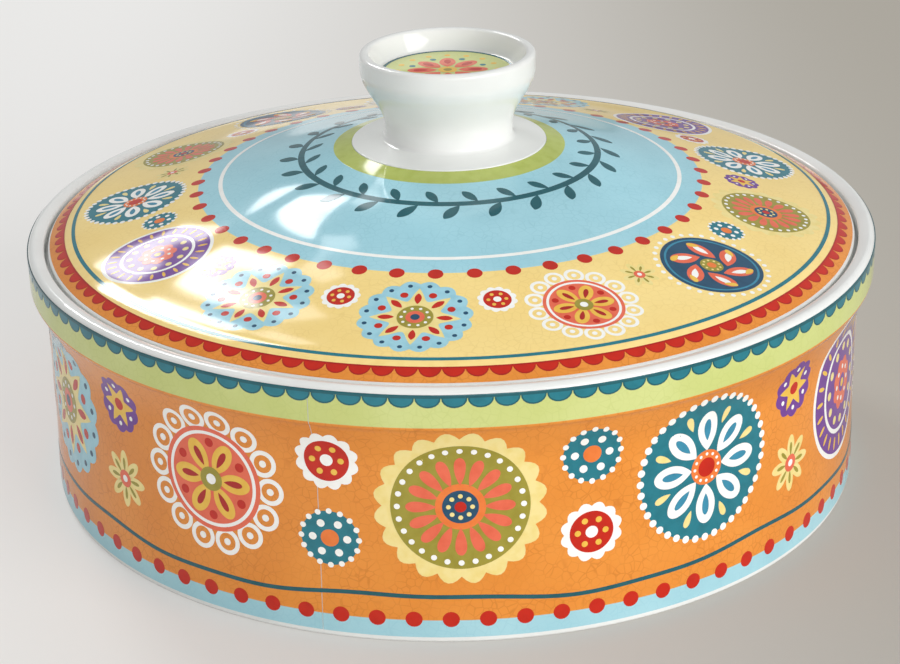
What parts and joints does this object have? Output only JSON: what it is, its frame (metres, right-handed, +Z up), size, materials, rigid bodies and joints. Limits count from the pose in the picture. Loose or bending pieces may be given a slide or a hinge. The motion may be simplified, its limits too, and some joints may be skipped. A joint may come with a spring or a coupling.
{
  "type": "tortilla warmer",
  "caption": "Round straight-sided ceramic dish with a collared rim and a low domed lift-off lid with a hollow knob, to keep a stack of tortillas warm.",
  "frame": {"origin": "centre of the circle that the foot ring stands on", "axes": "+Z up along the axis of the dish and lid; -Y towards the side the picture shows"},
  "size_m": [0.2604, 0.2604, 0.1308],
  "materials": {
    "white_glaze": "gloss",
    "green_print": "gloss",
    "orange_print": "gloss",
    "blue_print": "gloss",
    "yellow_print": "gloss"
  },
  "bodies": {
    "dish": {"dish": "white_glaze", "collar_print": "green_print", "wall_print": "orange_print", "foot_print": "blue_print"},
    "lid": {"lid": "white_glaze", "knob": "white_glaze", "lid_border_print": "orange_print", "lid_field_print": "yellow_print", "lid_centre_print": "blue_print", "knob_print": "green_print"}
  },
  "joints": [
    {"name": "lid_lift", "type": "slide", "parent": "dish", "child": "lid", "axis": [0, 0, 1], "range_m": [0, 0.12]}
  ]
}
